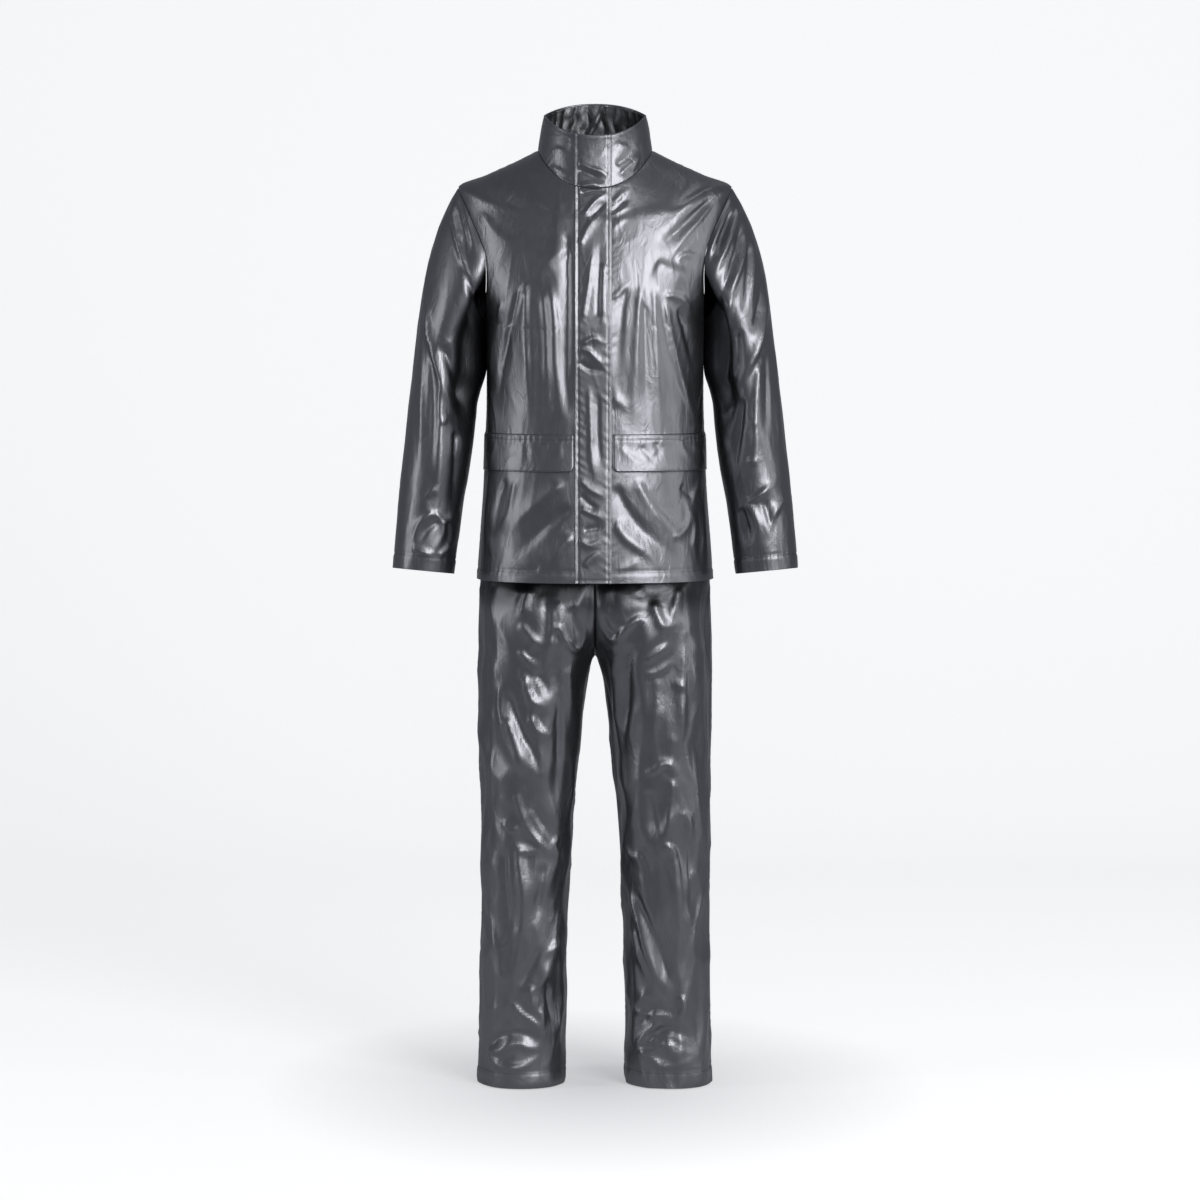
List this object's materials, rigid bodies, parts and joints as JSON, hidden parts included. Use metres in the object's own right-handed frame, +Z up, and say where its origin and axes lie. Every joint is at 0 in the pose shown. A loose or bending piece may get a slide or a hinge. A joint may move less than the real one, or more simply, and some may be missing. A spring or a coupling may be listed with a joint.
{
  "type": "rain suit, worn form",
  "caption": "Two-piece rain suit of glossy coated cloth, jacket with stand collar, storm flap and pocket flaps over straight trousers, standing hollow as worn.",
  "frame": {"origin": "midway between the jacket's shoulder seams, where the wearer's shoulders carry the suit", "axes": "+Z up along the standing wearer, -Y to the wearer's front, +X to the wearer's left"},
  "size_m": [0.6596, 0.3048, 1.6073],
  "materials": {
    "coated_cloth": "glossy waterproof coating, dark grey",
    "inside_cloth": "satin coated cloth, dark grey",
    "elastic": "matt knitted elastic in cloth, dark grey",
    "zip_tape": "matt woven tape, dark grey"
  },
  "bodies": {
    "root": {"jacket_front_left": "coated_cloth", "jacket_front_right": "coated_cloth", "jacket_back": "coated_cloth", "sleeve_left": "coated_cloth", "sleeve_right": "coated_cloth", "collar": "coated_cloth", "collar_facing": "inside_cloth", "storm_flap": "coated_cloth", "front_zip": "zip_tape", "pocket_flap_left": "coated_cloth", "pocket_flap_right": "coated_cloth", "trouser_front_left": "coated_cloth", "trouser_back_left": "coated_cloth", "trouser_front_right": "coated_cloth", "trouser_back_right": "coated_cloth", "waistband": "elastic"}
  },
  "joints": []
}
